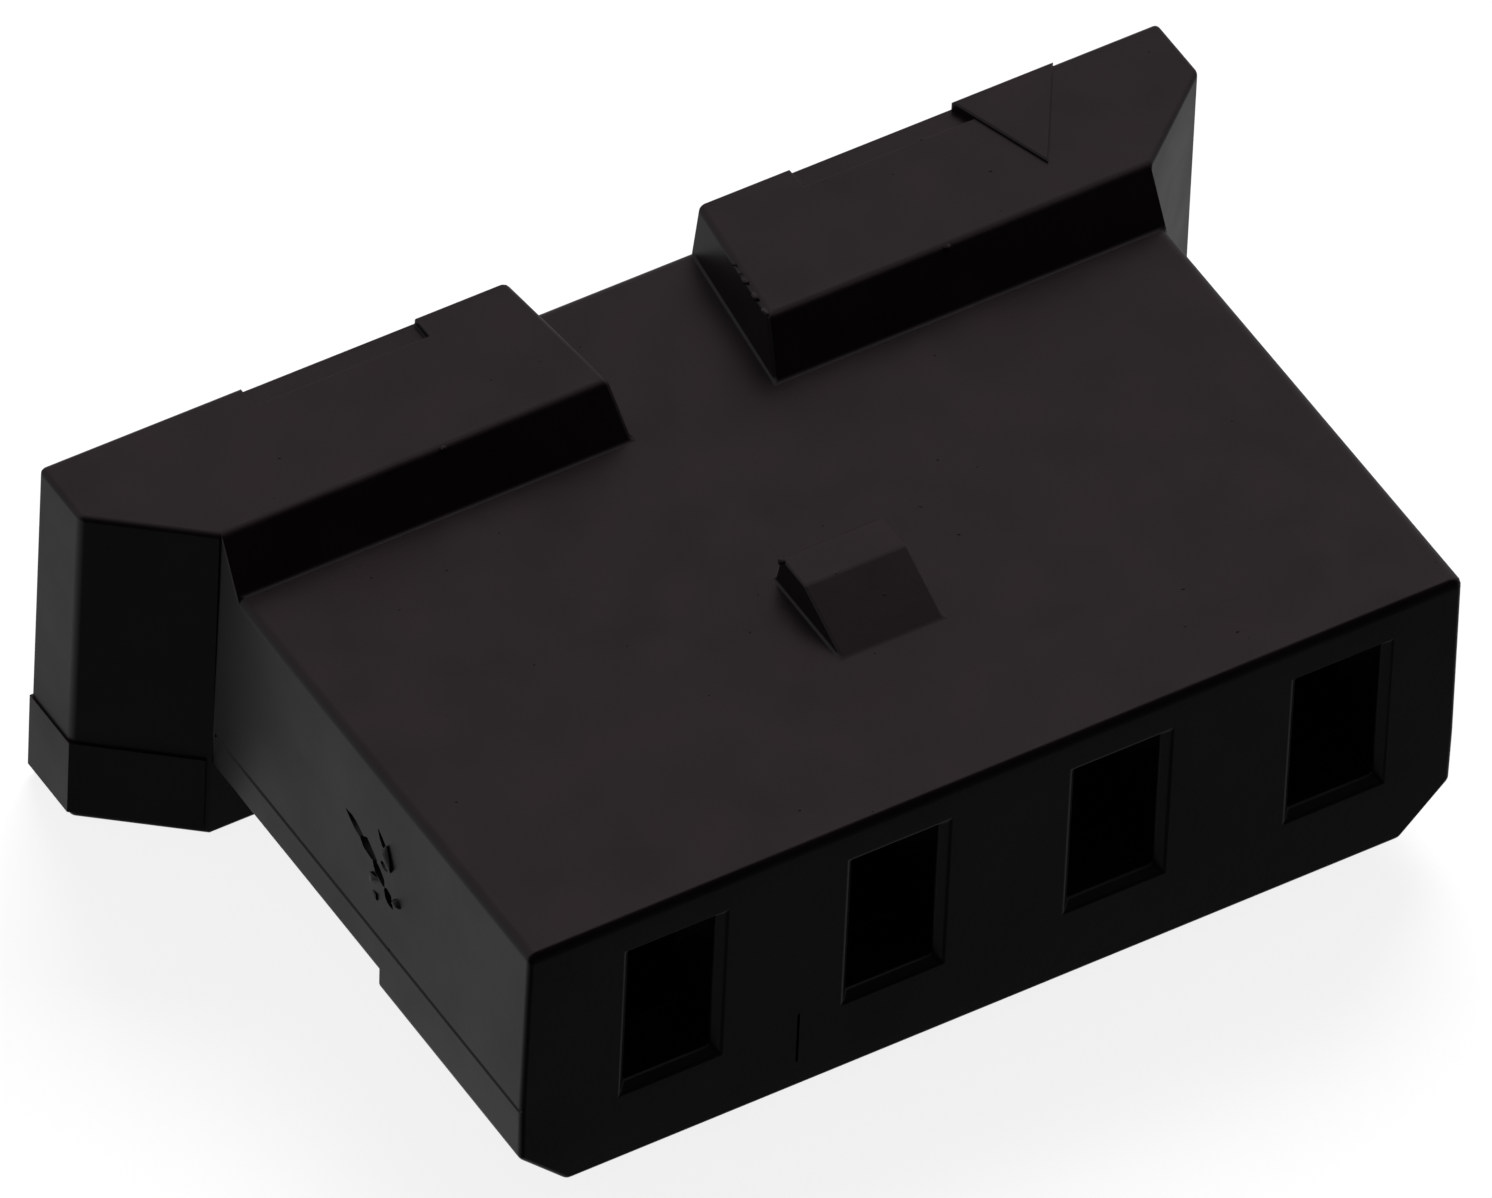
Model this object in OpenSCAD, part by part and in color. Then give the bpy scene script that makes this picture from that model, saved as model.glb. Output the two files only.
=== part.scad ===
/* [Circuits] */
// Number of circuits
circuits = 4; // [2:1:12]
// Distance from one circuit to the next
pitch = 1.25; // [1.2:0.05:2.5]
// Shift of the row of cavities towards the marked end
row_shift = 0.08; // [0:0.01:0.1]

/* [Body] */
// From the middle of the outer pitch lines to the ends of the body
end_margin = 0.76; // [0.72:0.01:1.5]
// Depth of the body from the mating face to the flange
body_depth = 2.92; // [2.4:0.01:6]
// Height of the body
body_height = 1.68; // [1.4:0.01:3]
// Chamfer along the lower edges next to the mating face
front_chamfer = 0.28; // [0.2:0.01:0.36]
// Chamfer along the lower edges next to the flange
rear_chamfer = 0.39; // [0.3:0.01:0.5]
// From the mating face to the step between the two chamfers
chamfer_step = 1.33; // [0.6:0.01:2]
// Height of the mould parting line above the body's underside
body_parting = 0.61; // [0.52:0.01:1]
// How far the side walls lean in above and below the parting line
side_draft = 0.01; // [0:0.005:0.04]

/* [Flange] */
// Thickness of the flange, front to back
flange_depth = 0.82; // [0.6:0.01:2]
// How far the flange reaches below the body's underside
flange_drop = 0.1; // [0:0.01:0.3]
// How far each ear stands out from the body
ear_reach = 0.54; // [0.3:0.01:1]
// Thickness of an ear at its outer end
ear_tip = 0.38; // [0.2:0.01:0.55]
// Height of the mould parting line above the flange's underside
ear_parting = 0.52; // [0.3:0.02:1]

/* [Finger blocks] */
// Height of the two blocks above the body
block_height = 0.29; // [0.1:0.01:1]
// How far the sloping front of a block reaches over the body
block_foot = 0.17; // [0.02:0.01:0.4]

/* [Finger gap] */
// Width of the gap between the blocks at the front, along the top
gap_front = 0.9; // [0.7:0.01:1.1]
// Width of the gap between the blocks at the back, along the top
gap_rear = 1.08; // [0.9:0.01:1.3]
// How far each end of the gap leans in towards its floor
gap_lean = 0.03; // [0:0.01:0.08]

/* [Block reliefs] */
// Width of the shallow relief in the rear top edge of each block
relief_width = 0.98; // [0.6:0.01:1.1]
// From the middle of the housing to the near side of a relief
relief_start = 1.06; // [0.8:0.01:1.2]
// Depth of the reliefs, downwards
relief_drop = 0.035; // [0.02:0.005:0.1]
// Reach of the reliefs, forwards from the rear face
relief_reach = 0.14; // [0.05:0.01:0.3]

/* [Lock] */
// Width of the lock ramp
lock_width = 0.58; // [0.4:0.01:0.9]
// Height of the lock ramp above the body
lock_height = 0.18; // [0.1:0.01:0.35]
// From the mating face to the foot of the ramp
lock_start = 0.98; // [0.5:0.01:1.2]
// Length of the sloping part
lock_slope = 0.37; // [0.2:0.01:0.5]
// Length of the flat top
lock_flat = 0.22; // [0.15:0.01:0.45]
// How far the catching face leans
lock_lean = 0.04; // [0:0.01:0.1]

/* [Contact cavities] */
// Width of a contact opening in the mating face
slot_width = 0.48; // [0.4:0.01:0.6]
// Thickness of the floor under the openings
slot_floor = 0.5; // [0.44:0.01:0.55]
// Thickness of the roof over the cavities
roof = 0.28; // [0.2:0.01:0.4]
// Chamfer round a contact opening
lead_in = 0.045; // [0.02:0.005:0.08]
// Thickness of the wall behind the mating face
front_wall = 0.38; // [0.25:0.01:0.6]
// Wall between two neighbouring contact chambers
chamber_rib = 0.45; // [0.35:0.01:0.5]
// Length of the contact chamber behind the front wall
chamber_length = 1.5; // [1.2:0.05:1.6]
// Wall between two neighbouring wire chambers
rib = 0.29; // [0.25:0.01:0.4]
// Thickness of the floor under the chambers
chamber_floor = 0.42; // [0.4:0.01:0.48]
// Chamfer round a wire entry in the rear face
entry_chamfer = 0.08; // [0.03:0.01:0.1]
// Width of the retention window in the underside
window_width = 0.46; // [0.3:0.01:0.55]
// Length of the retention window
window_length = 0.7; // [0.4:0.01:0.9]
// From the back of the front wall to the window
window_start = 0.6; // [0.4:0.01:0.7]

/* [Hidden] */
// overlap that carries a cut clear through a face
cut = 0.1;
body_width = (circuits - 1) * pitch + 2 * end_margin;
flange_width = body_width + 2 * ear_reach;
block_top = body_height + block_height;
total_depth = body_depth + flange_depth;
front_y = -total_depth / 2;
rear_y = total_depth / 2;
flange_y = front_y + body_depth;
cavity_top = body_height - roof;
chamber_width = pitch - chamber_rib;
wire_width = pitch - rib;
plastic = [0.13, 0.12, 0.12];

function circuit_x(i) = (i - (circuits - 1) / 2) * pitch + row_shift;

// half of a front view closed at the middle plane: chamfered foot, two drafted side walls
function half_outline(half, foot, parting, height, draft) = [
    [0, 0],
    [half - max(foot, draft), 0],
    [half - draft * (1 - foot / parting), foot],
    [half, parting],
    [half - draft, height],
    [0, height]
];

// a front view drawn in X and Z, run back along Y
module run_back(from, to) {
    translate([0, to, 0])
        rotate([90, 0, 0])
            linear_extrude(height = to - from)
                children();
}

// a side view drawn in Y and Z, run across the width
module run_across(width) {
    rotate([90, 0, 90])
        linear_extrude(height = width, center = true)
            children();
}

module both_sides() {
    children();
    mirror([1, 0, 0])
        children();
}

module moulded_run(half, foot, parting, height, from, to) {
    both_sides()
        run_back(from, to)
            polygon(half_outline(half, foot, parting, height, side_draft));
}

// rectangular tunnel that widens evenly by grow over its length, as a four-sided funnel
module funnel(width, low, high, from, to, grow) {
    intersection() {
        translate([0, 0, low - grow])
            linear_extrude(height = high - low + 2 * grow)
                polygon([
                    [-width / 2, from],
                    [width / 2, from],
                    [width / 2 + grow, to],
                    [-width / 2 - grow, to]
                ]);
        run_across(width + 2 * grow)
            polygon([
                [from, low],
                [to, low - grow],
                [to, high + grow],
                [from, high]
            ]);
    }
}

module tunnel(width, low, high, from, to) {
    translate([-width / 2, from, low])
        cube([width, to - from, high - low]);
}

module body() {
    moulded_run(body_width / 2, front_chamfer, body_parting, body_height, front_y, front_y + chamfer_step);
    moulded_run(body_width / 2, rear_chamfer, body_parting, body_height, front_y + chamfer_step, flange_y + cut);
}

module flange_plan() {
    polygon([
        [-body_width / 2, flange_y],
        [body_width / 2, flange_y],
        [flange_width / 2, rear_y - ear_tip],
        [flange_width / 2, rear_y],
        [-flange_width / 2, rear_y],
        [-flange_width / 2, rear_y - ear_tip]
    ]);
}

// the wall with both ears, from below the body to the top of the blocks
module flange() {
    height = flange_drop + block_top;
    translate([0, 0, -flange_drop])
        intersection() {
            linear_extrude(height = height)
                flange_plan();
            moulded_run(flange_width / 2, 0, ear_parting, height, flange_y, rear_y);
        }
}

// sloping front of the blocks, as wide as the top of the body
module block_slope() {
    run_across(body_width - 2 * side_draft)
        polygon([
            [flange_y - block_foot, body_height],
            [flange_y, block_top],
            [flange_y + cut, block_top],
            [flange_y + cut, body_height - cut],
            [flange_y - block_foot, body_height - cut]
        ]);
}

// one end of the finger gap: the end wall turns outwards to the back and leans in to the floor
module gap_end() {
    turn = atan((gap_rear - gap_front) / 2 / flange_depth);
    translate([gap_front / 2, flange_y, body_height])
        rotate([0, 0, -turn])
            run_back(-block_foot - cut, flange_depth + cut)
                polygon([
                    [-gap_front / 2 - cut, 0],
                    [-gap_lean, 0],
                    [gap_lean * cut / block_height, block_height + cut],
                    [-gap_front / 2 - cut, block_height + cut]
                ]);
}

module block_relief() {
    translate([relief_start, rear_y - relief_reach, block_top - relief_drop])
        cube([relief_width, relief_reach + cut, relief_drop + cut]);
}

module lock_ramp() {
    foot = front_y + lock_start;
    crest = foot + lock_slope;
    catch = crest + lock_flat;
    run_across(lock_width)
        polygon([
            [foot, body_height - cut],
            [foot, body_height],
            [crest, body_height + lock_height],
            [catch, body_height + lock_height],
            [catch + lock_lean, body_height],
            [catch + lock_lean, body_height - cut]
        ]);
}

// everything that is open for one contact: mating slot, chamber, wire entry, retention window
module cavity() {
    wall_back = front_y + front_wall;
    chamber_back = wall_back + chamber_length;
    window_front = wall_back + window_start;
    tunnel(slot_width, slot_floor, cavity_top, front_y - cut, wall_back + cut);
    mirror([0, 1, 0])
        funnel(slot_width, slot_floor, cavity_top, -front_y - lead_in, -front_y, lead_in);
    tunnel(chamber_width, chamber_floor, cavity_top, wall_back, chamber_back + cut);
    tunnel(wire_width, chamber_floor, cavity_top, chamber_back, rear_y + cut);
    funnel(wire_width, chamber_floor, cavity_top, rear_y - entry_chamfer, rear_y, entry_chamfer);
    tunnel(window_width, -cut, chamber_floor + cut, window_front, window_front + window_length);
}

// heights are drawn from the body's underside, and the flange then stands on the ground
module housing() {
    color(plastic)
        translate([0, 0, flange_drop])
            difference() {
                union() {
                    body();
                    flange();
                    block_slope();
                    lock_ramp();
                }
                both_sides() {
                    gap_end();
                    block_relief();
                }
                for (i = [0:circuits - 1])
                    translate([circuit_x(i), 0, 0])
                        cavity();
            }
}

housing();
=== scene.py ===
import math

import bmesh
import bpy
from mathutils import Matrix, Vector, noise


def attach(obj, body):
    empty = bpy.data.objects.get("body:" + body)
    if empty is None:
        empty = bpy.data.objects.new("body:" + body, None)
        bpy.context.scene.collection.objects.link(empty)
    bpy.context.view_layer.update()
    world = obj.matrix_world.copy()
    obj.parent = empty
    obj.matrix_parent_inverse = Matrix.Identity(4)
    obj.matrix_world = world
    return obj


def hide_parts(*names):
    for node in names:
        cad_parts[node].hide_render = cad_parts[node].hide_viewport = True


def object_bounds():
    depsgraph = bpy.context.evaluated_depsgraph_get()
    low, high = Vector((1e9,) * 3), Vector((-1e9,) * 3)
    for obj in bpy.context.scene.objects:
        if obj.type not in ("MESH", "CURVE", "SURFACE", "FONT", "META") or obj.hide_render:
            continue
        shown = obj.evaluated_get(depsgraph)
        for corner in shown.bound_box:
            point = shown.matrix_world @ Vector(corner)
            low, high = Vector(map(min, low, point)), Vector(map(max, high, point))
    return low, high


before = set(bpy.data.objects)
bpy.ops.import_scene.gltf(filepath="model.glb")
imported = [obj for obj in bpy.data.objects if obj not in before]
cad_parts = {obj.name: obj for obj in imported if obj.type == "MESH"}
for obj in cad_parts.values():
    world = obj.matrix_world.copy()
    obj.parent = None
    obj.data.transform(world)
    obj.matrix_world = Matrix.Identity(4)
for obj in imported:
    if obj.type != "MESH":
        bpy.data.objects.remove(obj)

cadLow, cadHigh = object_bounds()
mm = 0.001


def hexToLinear(code, alpha=1.0):
    parts = [int(code[i:i + 2], 16) / 255 for i in (1, 3, 5)]
    return tuple(p / 12.92 if p <= 0.04045 else ((p + 0.055) / 1.055) ** 2.4 for p in parts) + (alpha,)


def addNode(tree, kind, links=None, **settings):
    # one node, its settings, and what goes into its sockets: another node's output or a plain value
    node = tree.nodes.new(kind)
    for name, value in settings.items():
        setattr(node, name, value)
    for socket, value in (links or {}).items():
        target = node.inputs[socket]
        if isinstance(value, bpy.types.NodeSocket):
            tree.links.new(value, target)
        else:
            target.default_value = value
    return node


def newMaterial(name):
    made = bpy.data.materials.new(name)
    made.use_nodes = True
    made.node_tree.nodes.clear()
    return made, made.node_tree


def newObject(name, mesh):
    made = bpy.data.objects.new(name, mesh)
    bpy.context.scene.collection.objects.link(made)
    return made


def applyModifiers(obj):
    # the evaluated shape becomes a plain mesh, and the modifiers go
    graph = bpy.context.evaluated_depsgraph_get()
    mesh = bpy.data.meshes.new_from_object(obj.evaluated_get(graph))
    obj.modifiers.clear()
    obj.data = mesh


def growGeometry(obj, tree, **values):
    # runs a node tree on an object: values go in by socket name, the result stays as a plain mesh
    modifier = obj.modifiers.new(tree.name, "NODES")
    modifier.node_group = tree
    for item in tree.interface.items_tree:
        if item.item_type == "SOCKET" and item.in_out == "INPUT" and item.name in values:
            modifier[item.identifier] = values[item.name]
    applyModifiers(obj)
    return obj


plastic = {
    "colour": "#12070b",      # carbon black in the resin, a little warm
    "cloud": "#190d13",       # where the skin is a shade paler
    "ior": 1.5,
    "roughness": 0.36,
    "roughnessSpread": 0.07,
    "grain": 0.030,           # mm, one pit of the spark-eroded mould, drawn a little coarse so that it shows
    "grainDepth": 0.0011,
    "flow": 0.9,              # mm, slow waves where the melt cooled
    "flowDepth": 0.004,
    "clouds": 0.35,           # mm, size of the paler patches
    "cloudStops": (0.35, 0.72),
    "bumpStrength": 0.5,
}


def mouldedPlastic():
    # black polyester, injection moulded in a spark-eroded tool: near black with a soft satin skin
    made, tree = newMaterial("mouldedBlackPolyester")
    place = addNode(tree, "ShaderNodeTexCoord").outputs["Object"]
    grain = addNode(tree, "ShaderNodeTexNoise",
                    {"Vector": place, "Scale": 1 / (plastic["grain"] * mm), "Detail": 2.0, "Roughness": 0.5})
    flow = addNode(tree, "ShaderNodeTexNoise",
                   {"Vector": place, "Scale": 1 / (plastic["flow"] * mm), "Detail": 3.0, "Roughness": 0.6})
    sheen = addNode(tree, "ShaderNodeMapRange",
                    {"Value": flow.outputs["Fac"], "From Min": 0.3, "From Max": 0.7,
                     "To Min": plastic["roughness"] - plastic["roughnessSpread"],
                     "To Max": plastic["roughness"] + plastic["roughnessSpread"]})
    waves = addNode(tree, "ShaderNodeBump",
                    {"Height": flow.outputs["Fac"], "Strength": plastic["bumpStrength"],
                     "Distance": plastic["flowDepth"] * mm})
    pits = addNode(tree, "ShaderNodeBump",
                   {"Height": grain.outputs["Fac"], "Strength": plastic["bumpStrength"],
                    "Distance": plastic["grainDepth"] * mm, "Normal": waves.outputs["Normal"]})
    cloud = addNode(tree, "ShaderNodeTexNoise",
                    {"Vector": place, "Scale": 1 / (plastic["clouds"] * mm), "Detail": 4.0, "Roughness": 0.65})
    colour = addNode(tree, "ShaderNodeValToRGB", {"Fac": cloud.outputs["Fac"]})
    for stop, where, shade in zip(colour.color_ramp.elements, plastic["cloudStops"], ("colour", "cloud")):
        stop.position = where
        stop.color = hexToLinear(plastic[shade])
    skin = addNode(tree, "ShaderNodeBsdfPrincipled",
                   {"Base Color": colour.outputs["Color"], "IOR": plastic["ior"],
                    "Roughness": sheen.outputs["Result"], "Normal": pits.outputs["Normal"]})
    addNode(tree, "ShaderNodeOutputMaterial", {"Surface": skin.outputs["BSDF"]})
    return made


lint = {
    "dark": "#a8a49d",
    "pale": "#f2eee8",
    "mottle": 0.02,    # mm
    "roughness": 0.85,
}


def dustLint():
    # pale grey lint and dust off a packing bag, matte
    made, tree = newMaterial("paleDust")
    place = addNode(tree, "ShaderNodeTexCoord").outputs["Object"]
    mottle = addNode(tree, "ShaderNodeTexNoise",
                     {"Vector": place, "Scale": 1 / (lint["mottle"] * mm), "Detail": 1.0})
    shade = addNode(tree, "ShaderNodeValToRGB", {"Fac": mottle.outputs["Fac"]})
    shade.color_ramp.elements[0].color = hexToLinear(lint["dark"])
    shade.color_ramp.elements[1].color = hexToLinear(lint["pale"])
    skin = addNode(tree, "ShaderNodeBsdfPrincipled",
                   {"Base Color": shade.outputs["Color"], "Roughness": lint["roughness"]})
    addNode(tree, "ShaderNodeOutputMaterial", {"Surface": skin.outputs["BSDF"]})
    return made


# the moulding's own sizes in mm, from its middle, as in the part's source
shape = {
    "bodyHalf": 2.635,
    "front": -1.87,
    "flangeFront": 1.05,
    "rear": 1.87,
    "bodyTop": 1.78,
    "blockTop": 2.07,
    "earHalf": 3.175,
    "earTip": 0.38,
    "bodyParting": 0.71,
    "earParting": 0.52,
}

edges = {
    "join": 0.002,        # mm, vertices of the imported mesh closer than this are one
    "weld": 0.0003,       # mm, the same for the finished mesh
    "flat": 0.3,          # degrees, faces closer to one plane than this are joined
    "near": 0.02,         # mm, how close an edge lies to a plane that it is on
    "radius": 0.070,      # mm, the largest edge radius that the tool leaves
    "segments": 4,
    "angle": 20,          # degrees, flatter edges stay as they are
    "sharp": 38,          # degrees, shading breaks at edges sharper than this
    # share of that radius for each kind of edge
    "mating": 1.0,        # top edge over the openings
    "topSide": 0.70,      # long side edges of the body's top
    "gapRear": 0.80,      # back of the finger gap
    "plain": 0.42,
    "inner": 0.22,        # corners that point inwards, and the lock ramp
    "opening": 0.17,      # openings and chambers
    "step": 0.08,         # the shallow steps at the relief and at the foot
}


def edgeShare(edge):
    # how much of the full radius an edge gets, from where it is and where it points, in mm
    x, y, z = (edge.verts[0].co + edge.verts[1].co) / 2
    along = (edge.verts[1].co - edge.verts[0].co).normalized()
    side = abs(x)
    near = edges["near"]
    onTop = abs(z - shape["bodyTop"]) < near
    atEarRoot = abs(side - shape["bodyHalf"]) < 0.03 and abs(y - shape["flangeFront"]) < 0.03
    blockSlopeEnd = side > 2.6 and 0.85 < y < 1.04 and z > 1.8
    inRelief = z > 2.02 and y > 1.70 and 1.0 < side < 2.1
    footStep = z < 0.75 and side > 2.1 and abs(y + 0.54) < 0.05
    inCavity = 0.45 < z < 1.58 and side < 2.50
    inWindow = z < 0.53 and side < 2.3 and -1.0 < y < 0.3
    onRamp = side < 0.32 and -0.95 < y < -0.2 and z > 1.7
    if (atEarRoot and abs(along.z) > 0.9) or footStep:
        return 0.0    # these stay plain corners
    if blockSlopeEnd or inRelief:
        return edges["step"]
    if inCavity or inWindow:
        return edges["opening"]
    if not edge.is_convex or onRamp:
        return edges["inner"]
    if onTop and y < shape["front"] + near:
        return edges["mating"]
    if onTop and side > 2.5 and abs(along.y) > 0.9:
        return edges["topSide"]
    if onTop and y > shape["rear"] - near:
        return edges["gapRear"]
    return edges["plain"]


def cleanCopy(node):
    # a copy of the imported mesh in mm: merged, flat faces joined, then split where they are hollow
    mesh = node.data.copy()
    mesh.transform(Matrix.Scale(1 / mm, 4))
    bm = bmesh.new()
    bm.from_mesh(mesh)
    bmesh.ops.remove_doubles(bm, verts=bm.verts, dist=edges["join"])
    bmesh.ops.dissolve_limit(bm, angle_limit=math.radians(edges["flat"]), verts=bm.verts, edges=bm.edges)
    bmesh.ops.connect_verts_concave(bm, faces=bm.faces)
    weights = bm.edges.layers.float.new("bevel_weight_edge")
    limit = math.radians(edges["angle"])
    for edge in bm.edges:
        if len(edge.link_faces) == 2 and edge.calc_face_angle() > limit:
            edge[weights] = edgeShare(edge)
    bm.to_mesh(mesh)
    bm.free()
    mesh.materials.clear()
    return mesh


def convexSolid(bm, points):
    # the closed convex shape round some points
    made = [bm.verts.new(p) for p in points]
    bmesh.ops.convex_hull(bm, input=made)
    for vert in [v for v in made if v.is_valid and not v.link_faces]:
        bm.verts.remove(vert)


lump = {
    "points": 26,
    "goldenTurn": 2.39996,    # radians, spreads the points evenly round
    "waves": 1.7,             # how fine the unevenness is
}


def chip(bm, centre, half, turn=0.0, rough=0.35, seed=0.0):
    # a rough little lump with half sizes in X, Y and Z, turned about X by turn degrees
    spin = Matrix.Rotation(math.radians(turn), 3, "X")
    points = []
    for i in range(lump["points"]):
        rise = math.acos(1 - 2 * (i + 0.5) / lump["points"])
        around = i * lump["goldenTurn"]
        way = Vector((math.cos(rise), math.sin(rise) * math.cos(around), math.sin(rise) * math.sin(around)))
        size = 1 + rough * noise.noise(way * lump["waves"] + Vector((seed, seed * 2.3, 5.0)))
        reach = spin @ Vector((way.x * half[0], way.y * half[1], way.z * half[2]))
        points.append(Vector(centre) + reach * size)
    convexSolid(bm, points)


def solidObject(name, bm, skin):
    bmesh.ops.recalc_face_normals(bm, faces=bm.faces)
    mesh = bpy.data.meshes.new(name)
    bm.to_mesh(mesh)
    bm.free()
    mesh.materials.append(skin)
    return newObject(name, mesh)


def combine(piece, other, operation):
    # adds the other solid to the piece, or takes it away, and clears it up
    join = piece.modifiers.new(operation, "BOOLEAN")
    join.operation = operation
    join.solver = "EXACT"
    join.use_self = True
    join.object = other
    applyModifiers(piece)
    bpy.data.objects.remove(other)


partingMark = {
    "bodyWidth": 0.056,   # mm, size of the square section that cuts the line where the mould halves meet
    "proud": 0.014,       # how far outside the wall its middle runs
    "overrun": 0.1,       # past the mating face
    "stop": 0.02,         # short of the flange
}


def partingTree():
    # a four-sided groove cutter swept along an edge path
    tree = bpy.data.node_groups.new("partingGroove", "GeometryNodeTree")
    tree.interface.new_socket(name="Path", in_out="INPUT", socket_type="NodeSocketGeometry")
    tree.interface.new_socket(name="Width", in_out="INPUT", socket_type="NodeSocketFloat")
    tree.interface.new_socket(name="Skin", in_out="INPUT", socket_type="NodeSocketMaterial")
    tree.interface.new_socket(name="Groove", in_out="OUTPUT", socket_type="NodeSocketGeometry")
    given = addNode(tree, "NodeGroupInput")
    path = addNode(tree, "GeometryNodeMeshToCurve", {"Mesh": given.outputs["Path"]})
    upright = addNode(tree, "GeometryNodeSetCurveNormal", {"Curve": path.outputs["Curve"]}, mode="Z_UP")
    half = addNode(tree, "ShaderNodeMath", {0: given.outputs["Width"], 1: 0.5}, operation="MULTIPLY")
    section = addNode(tree, "GeometryNodeCurvePrimitiveCircle", {"Resolution": 4, "Radius": half.outputs[0]})
    swept = addNode(tree, "GeometryNodeCurveToMesh",
                    {"Curve": upright.outputs["Curve"], "Profile Curve": section.outputs["Curve"],
                     "Fill Caps": True})
    real = addNode(tree, "GeometryNodeRealizeInstances", {"Geometry": swept.outputs["Mesh"]})
    coated = addNode(tree, "GeometryNodeSetMaterial",
                     {"Geometry": real.outputs["Geometry"], "Material": given.outputs["Skin"]})
    addNode(tree, "NodeGroupOutput", {"Groove": coated.outputs["Geometry"]})
    return tree


def partingCutter(tree, name, route, width, skin):
    # the route runs on one side; its mirror image runs on the other
    mesh = bpy.data.meshes.new(name)
    points = [(side * x, y, z) for side in (-1, 1) for x, y, z in route]
    count = len(route)
    mesh.from_pydata(points, [(i, i + 1) for i in range(2 * count - 1) if i != count - 1], [])
    return growGeometry(newObject(name, mesh), tree, Width=width, Skin=skin)


raised = {
    "triangle": ((1.985, 1.868), (2.565, 1.868), (2.185, 1.290)),   # corners of the circuit 1 mark
    "triangleFoot": 2.0,
    "triangleRise": 0.018,
    "triangleInset": 0.016,   # how far the corners of its top draw in
    "triangleEdge": 0.008,
    "flash": 0.010,           # mm, how far the lower half of each ear stands proud
    "flashFoot": 0.045,
    "flashStop": 0.006,       # short of the rear face
    "nibs": ((-1.388, 1.040, 2.066), (1.457, 1.040, 2.066)),   # on the blocks' front top edges
    "nibSize": (0.016, 0.014, 0.011),
    # ragged flash on the near end of the right block: place from rear to front, then size
    "ragged": ((0.52, 0.9), (0.60, 0.7), (0.675, 1.3), (0.82, 1.5), (0.955, 1.4)),
    "raggedSize": (0.011, 0.020, 0.010),
    "rampBurr": (-0.292, -0.318, 1.953),
    "rampBurrSize": (0.026, 0.018, 0.016),
    # torn lips round the gate mark: Y and Z of the middle, then half sizes
    "lips": (
        (-0.585, 1.300, (0.024, 0.030, 0.075)),
        (-0.455, 1.060, (0.016, 0.040, 0.030)),
        (-0.680, 1.075, (0.018, 0.030, 0.022)),
        (-0.480, 0.960, (0.012, 0.030, 0.022)),
    ),
}


def addTriangle(bm):
    corners = [Vector(c) for c in raised["triangle"]]
    middle = sum(corners, Vector((0, 0))) / 3
    top = shape["blockTop"] + raised["triangleRise"]
    inner = [c + (middle - c).normalized() * raised["triangleInset"] for c in corners]
    levels = ((corners, raised["triangleFoot"]), (corners, top - raised["triangleEdge"]), (inner, top))
    convexSolid(bm, [(c.x, c.y, z) for ring, z in levels for c in ring])


def addFlash(bm):
    # the lower mould half leaves each ear a hair wider
    start = Vector((shape["bodyHalf"], shape["flangeFront"]))
    turn = Vector((shape["earHalf"], shape["rear"] - shape["earTip"]))
    along = (turn - start).normalized()
    out = Vector((along.y, -along.x))
    outer = shape["earHalf"] + raised["flash"]
    back = shape["rear"] - raised["flashStop"]
    slip = turn + out * raised["flash"]
    slip += along * ((outer - slip.x) / along.x)
    plan = [start + along * 0.03 + out * raised["flash"], slip, Vector((outer, back)),
            Vector((shape["earHalf"] - 0.06, back)), turn - out * 0.06, start + along * 0.08 - out * 0.03]
    for side in (-1, 1):
        convexSolid(bm, [(side * p.x, p.y, z) for p in plan for z in (raised["flashFoot"], shape["earParting"])])


def addedDetails(skin):
    # everything raised: circuit mark, flash, nibs, torn edges
    bm = bmesh.new()
    addTriangle(bm)
    addFlash(bm)
    for i, nib in enumerate(raised["nibs"]):
        chip(bm, nib, raised["nibSize"], seed=i + 0.7)
    for i, (t, size) in enumerate(raised["ragged"]):
        place = (0.538 - 0.09 * t, 1.87 - 0.82 * t, 2.062)
        chip(bm, place, [half * size for half in raised["raggedSize"]], seed=i * 1.9)
    chip(bm, raised["rampBurr"], raised["rampBurrSize"], seed=3.3)
    for i, (y, z, half) in enumerate(raised["lips"]):
        chip(bm, (-shape["bodyHalf"] + 0.002, y, z), half, turn=20 * i - 25, rough=0.7, seed=i * 2.1)
    return solidObject("addedDetails", bm, skin)


sunk = {
    # gashes of the gate mark in the left wall: Y and Z of the middle, half sizes, turn in degrees
    "gashes": (
        (-0.285, 1.255, (0.060, 0.090, 0.034), 22),
        (-0.395, 1.205, (0.075, 0.080, 0.042), 18),
        (-0.500, 1.135, (0.065, 0.065, 0.030), 40),
        (-0.600, 1.045, (0.060, 0.050, 0.034), 55),
        (-0.520, 1.365, (0.030, 0.050, 0.022), 40),
        (-0.545, 1.215, (0.030, 0.035, 0.020), 10),
    ),
    "lineX": (-1.085, -1.065),   # short upright line on the mating face
    "lineZ": (0.28, 0.61),
    "lineDepth": 0.030,
    "lineFlare": 0.008,
}


def cutDetails(skin):
    # everything sunk: the gate mark's gashes and the line on the mating face
    bm = bmesh.new()
    for i, (y, z, half, turn) in enumerate(sunk["gashes"]):
        chip(bm, (-shape["bodyHalf"], y, z), half, turn=turn, rough=0.8, seed=i * 1.3 + 0.4)
    left, right = sunk["lineX"]
    face = shape["front"]
    vee = ((left - sunk["lineFlare"], face - 0.05), (right + sunk["lineFlare"], face - 0.05),
           ((left + right) / 2, face + sunk["lineDepth"]))
    convexSolid(bm, [(x, y, z) for z in sunk["lineZ"] for x, y in vee])
    return solidObject("cutDetails", bm, skin)


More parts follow.
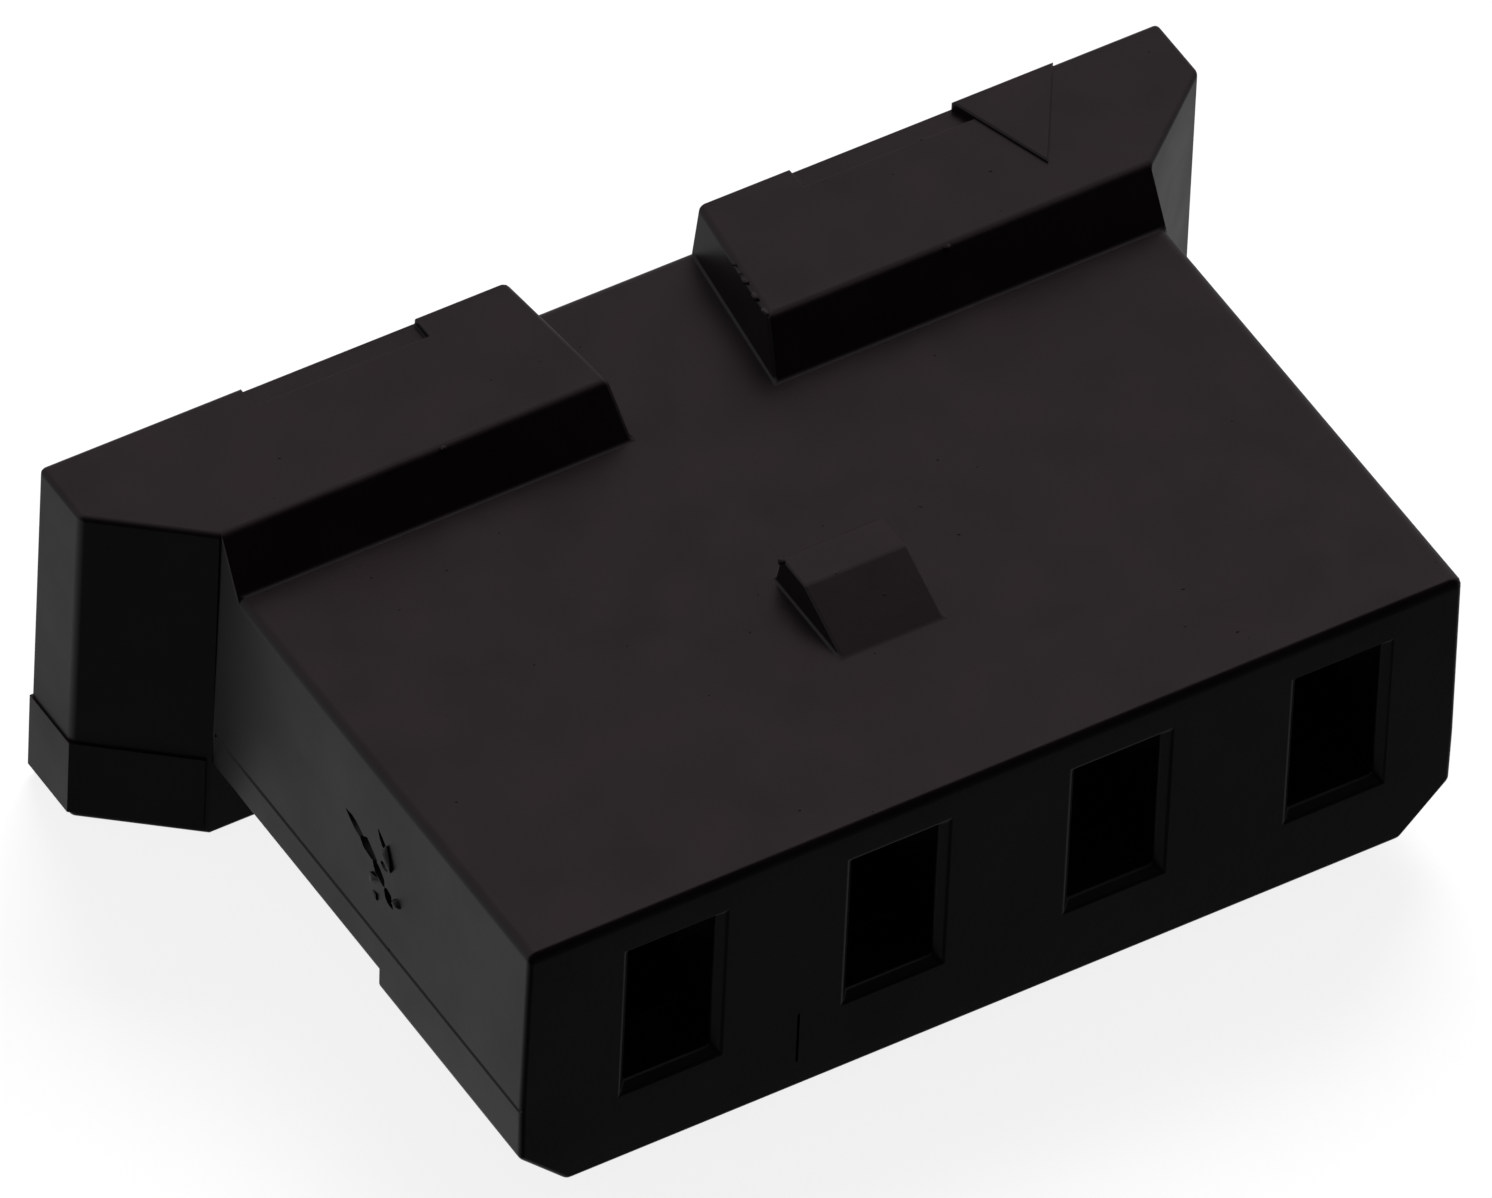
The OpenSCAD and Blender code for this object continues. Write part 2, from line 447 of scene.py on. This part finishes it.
def makeHousing(node, skin):
    mesh = cleanCopy(node)
    mesh.materials.append(skin)
    piece = newObject("housingMoulding", mesh)
    bevel = piece.modifiers.new("edges", "BEVEL")
    bevel.width = edges["radius"]
    bevel.segments = edges["segments"]
    bevel.limit_method = "WEIGHT"
    bevel.use_clamp_overlap = False
    applyModifiers(piece)
    print("housing edges rounded:", len(piece.data.polygons), "faces")

    combine(piece, addedDetails(skin), "UNION")
    combine(piece, cutDetails(skin), "DIFFERENCE")
    tree = partingTree()
    wall = shape["bodyHalf"] + partingMark["proud"]
    bodyRoute = [(wall, shape["front"] - partingMark["overrun"], shape["bodyParting"]),
                 (wall, shape["flangeFront"] - partingMark["stop"], shape["bodyParting"])]
    combine(piece, partingCutter(tree, "bodyParting", bodyRoute, partingMark["bodyWidth"], skin), "DIFFERENCE")
    print("housing details cut:", len(piece.data.polygons), "faces")
    return piece


dust = {
    "density": 2.4,       # specks on each square millimetre that looks up
    "radius": 0.0065,     # mm
    "sizes": (0.5, 1.5),  # smallest and largest, as shares of that
    "width": 0.7,         # width and height of a speck, as shares of its length
    "flatness": 0.5,
    "seed": 11,
    "upwards": 0.7,       # a face whose normal rises less than this keeps none
}


def dustTree():
    # specks scattered over the faces that look up, turned and sized at random
    tree = bpy.data.node_groups.new("dustScatter", "GeometryNodeTree")
    for name, kind in (("Ground", "Geometry"), ("Density", "Float"), ("Radius", "Float"), ("Flatness", "Float"),
                       ("Upwards", "Float"), ("Seed", "Int"), ("Lint", "Material")):
        tree.interface.new_socket(name=name, in_out="INPUT", socket_type="NodeSocket" + kind)
    tree.interface.new_socket(name="Specks", in_out="OUTPUT", socket_type="NodeSocketGeometry")
    given = addNode(tree, "NodeGroupInput")
    normal = addNode(tree, "GeometryNodeInputNormal")
    rise = addNode(tree, "ShaderNodeSeparateXYZ", {0: normal.outputs["Normal"]})
    facesUp = addNode(tree, "FunctionNodeCompare", {0: rise.outputs["Z"], 1: given.outputs["Upwards"]},
                      data_type="FLOAT", operation="GREATER_THAN")
    points = addNode(tree, "GeometryNodeDistributePointsOnFaces",
                     {"Mesh": given.outputs["Ground"], "Selection": facesUp.outputs["Result"],
                      "Density": given.outputs["Density"], "Seed": given.outputs["Seed"]},
                     distribute_method="RANDOM")
    ball = addNode(tree, "GeometryNodeMeshIcoSphere", {"Radius": given.outputs["Radius"], "Subdivisions": 2})
    squash = addNode(tree, "ShaderNodeCombineXYZ", {"X": 1.0, "Y": dust["width"], "Z": given.outputs["Flatness"]})
    flat = addNode(tree, "GeometryNodeTransform",
                   {"Geometry": ball.outputs["Mesh"], "Scale": squash.outputs["Vector"]})
    size = addNode(tree, "FunctionNodeRandomValue",
                   {2: dust["sizes"][0], 3: dust["sizes"][1], "Seed": given.outputs["Seed"]}, data_type="FLOAT")
    turn = addNode(tree, "FunctionNodeRandomValue",
                   {2: 0.0, 3: 6.28, "Seed": given.outputs["Seed"]}, data_type="FLOAT")
    spin = addNode(tree, "ShaderNodeCombineXYZ", {"Z": turn.outputs[1]})
    specks = addNode(tree, "GeometryNodeInstanceOnPoints",
                     {"Points": points.outputs["Points"], "Instance": flat.outputs["Geometry"],
                      "Rotation": spin.outputs["Vector"], "Scale": size.outputs[1]})
    real = addNode(tree, "GeometryNodeRealizeInstances", {"Geometry": specks.outputs["Instances"]})
    coated = addNode(tree, "GeometryNodeSetMaterial",
                     {"Geometry": real.outputs["Geometry"], "Material": given.outputs["Lint"]})
    addNode(tree, "NodeGroupOutput", {"Specks": coated.outputs["Geometry"]})
    return tree


def addDust(piece, skin, coat):
    # the specks join the moulding's own mesh, with their own material
    ground = newObject("dustSpecks", piece.data.copy())
    growGeometry(ground, dustTree(), Density=dust["density"], Radius=dust["radius"], Flatness=dust["flatness"],
                 Upwards=dust["upwards"], Seed=dust["seed"], Lint=coat)
    specks = ground.data
    bpy.data.objects.remove(ground)
    bm = bmesh.new()
    bm.from_mesh(piece.data)
    moulding = len(bm.faces)
    bm.from_mesh(specks)
    bm.faces.ensure_lookup_table()
    for i, face in enumerate(bm.faces):
        face.material_index = 0 if i < moulding else 1
    bm.to_mesh(piece.data)
    bm.free()
    piece.data.materials.clear()
    piece.data.materials.append(skin)
    piece.data.materials.append(coat)
    print("dust:", len(specks.polygons), "faces")


def finishNormals(piece):
    # smooth over the rounded edges, flat on the faces, broken only at real corners
    bm = bmesh.new()
    bm.from_mesh(piece.data)
    bmesh.ops.remove_doubles(bm, verts=bm.verts, dist=edges["weld"])
    bmesh.ops.triangulate(bm, faces=[f for f in bm.faces if len(f.verts) > 4])
    bmesh.ops.dissolve_degenerate(bm, dist=edges["weld"], edges=bm.edges)
    limit = math.radians(edges["sharp"])
    for edge in bm.edges:
        edge.smooth = not (len(edge.link_faces) == 2 and edge.calc_face_angle() > limit)
    for face in bm.faces:
        face.smooth = True
    bm.to_mesh(piece.data)
    bm.free()
    weighted = piece.modifiers.new("normals", "WEIGHTED_NORMAL")
    weighted.keep_sharp = True
    applyModifiers(piece)


studio = {
    "floorSize": 0.8,         # metres
    "gap": 0.00001,           # metres, keeps the floor clear of the underside
    "floorGlow": 0.86,        # what the camera sees of the floor before the lamp adds to it
    "floorShade": "#707070",  # how much of the object's shadow the camera sees on it
    "floorColour": "#6a6a6a",
    "skyAxis": (0.12, 0.99, 0.0),   # the room gets brighter along this way, from front to back
    "sky": ((-0.62, 0.012), (-0.50, 0.055), (-0.14, 0.20), (0.30, 0.40), (0.62, 0.31), (1.0, 0.31)),
}


def makeStudio():
    floorMesh = bpy.data.meshes.new("floor")
    half = studio["floorSize"] / 2
    corners = [(-half, -half, 0), (half, -half, 0), (half, half, 0), (-half, half, 0)]
    floorMesh.from_pydata(corners, [], [(0, 1, 2, 3)])
    floor = newObject("floor", floorMesh)
    floor.location.z = cadLow[2] - studio["gap"]
    made, tree = newMaterial("mattePaper")
    path = addNode(tree, "ShaderNodeLightPath")
    paper = addNode(tree, "ShaderNodeBsdfDiffuse", {"Color": hexToLinear(studio["floorColour"])})
    thin = addNode(tree, "ShaderNodeBsdfDiffuse", {"Color": hexToLinear(studio["floorShade"])})
    glow = addNode(tree, "ShaderNodeEmission", {"Color": (1, 1, 1, 1), "Strength": studio["floorGlow"]})
    seen = addNode(tree, "ShaderNodeAddShader", {0: thin.outputs[0], 1: glow.outputs[0]})
    both = addNode(tree, "ShaderNodeMixShader",
                   {0: path.outputs["Is Camera Ray"], 1: paper.outputs[0], 2: seen.outputs[0]})
    addNode(tree, "ShaderNodeOutputMaterial", {"Surface": both.outputs[0]})
    floorMesh.materials.append(made)
    floor.visible_glossy = False

    # the room: bright behind, dark in front, white where the camera sees it
    world = bpy.data.worlds.new("room")
    bpy.context.scene.world = world
    world.use_nodes = True
    tree = world.node_tree
    tree.nodes.clear()
    path = addNode(tree, "ShaderNodeLightPath")
    way = addNode(tree, "ShaderNodeTexCoord").outputs["Generated"]
    axis = Vector(studio["skyAxis"]).normalized()
    along = addNode(tree, "ShaderNodeVectorMath", {0: way, 1: axis}, operation="DOT_PRODUCT")
    spread = addNode(tree, "ShaderNodeMath",
                     {0: along.outputs["Value"], 1: 0.5, 2: 0.5}, operation="MULTIPLY_ADD")
    level = addNode(tree, "ShaderNodeValToRGB", {"Fac": spread.outputs["Value"]})
    stops = level.color_ramp.elements
    while len(stops) < len(studio["sky"]):
        stops.new(0.5)
    for stop, (where, bright) in zip(stops, studio["sky"]):
        stop.position = where / 2 + 0.5
        stop.color = (bright, bright, bright, 1)
    soft = addNode(tree, "ShaderNodeBackground", {"Color": level.outputs["Color"], "Strength": 1.0})
    white = addNode(tree, "ShaderNodeBackground", {"Color": (1, 1, 1, 1), "Strength": 1.0})
    both = addNode(tree, "ShaderNodeMixShader",
                   {0: path.outputs["Is Camera Ray"], 1: soft.outputs[0], 2: white.outputs[0]})
    addNode(tree, "ShaderNodeOutputWorld", {"Surface": both.outputs[0]})


lamps = {
    # name: direction the light comes from, distance and size in metres, power in watts
    "softbox": {"from": (0.38, 0.55, 0.74), "away": 0.30, "size": 0.16, "power": 1.15},
}


def makeLamps():
    middle = (Vector(cadLow) + Vector(cadHigh)) / 2
    for name, lamp in lamps.items():
        data = bpy.data.lights.new(name, "AREA")
        data.size = lamp["size"]
        data.energy = lamp["power"]
        obj = bpy.data.objects.new(name, data)
        bpy.context.scene.collection.objects.link(obj)
        way = Vector(lamp["from"]).normalized()
        obj.location = middle + way * lamp["away"]
        obj.rotation_euler = way.to_track_quat("Z", "Y").to_euler()
        obj.visible_glossy = False   # the gloss comes from the room alone


viewpoint = {
    "azimuth": -32.954,
    "elevation": 45.370,
    "roll": -2.769,
    "distance": 0.16644,
    "aim": (-0.0770, 0.3147, 1.0251),   # mm
    "lens": 827.8,                      # a long macro lens on a 36 mm sensor
}


def makeCamera():
    data = bpy.data.cameras.new("camera")
    data.lens = viewpoint["lens"]
    data.sensor_width = 36
    data.clip_start = 0.01
    data.clip_end = 10
    obj = bpy.data.objects.new("camera", data)
    bpy.context.scene.collection.objects.link(obj)
    turn, rise, roll = (math.radians(viewpoint[k]) for k in ("azimuth", "elevation", "roll"))
    back = Vector((math.sin(turn) * math.cos(rise), -math.cos(turn) * math.cos(rise), math.sin(rise)))
    right = Vector((math.cos(turn), math.sin(turn), 0))
    up = back.cross(right)
    right, up = (right * math.cos(roll) - up * math.sin(roll), right * math.sin(roll) + up * math.cos(roll))
    aim = Vector(viewpoint["aim"]) * mm
    place = aim + back * viewpoint["distance"]
    obj.matrix_world = Matrix((
        (right.x, up.x, back.x, place.x),
        (right.y, up.y, back.y, place.y),
        (right.z, up.z, back.z, place.z),
        (0, 0, 0, 1),
    ))
    bpy.context.scene.camera = obj


bpy.context.scene.view_settings.view_transform = "Standard"
makeCamera()
makeLamps()
makeStudio()
print("camera, lamps and room ready")

skin = mouldedPlastic()
housing = makeHousing(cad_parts["housing"], skin)
finishNormals(housing)
addDust(housing, skin, dustLint())
housing.data.transform(Matrix.Scale(mm, 4))
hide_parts("housing")
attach(housing, "root")
print("housing:", len(housing.data.polygons), "faces")
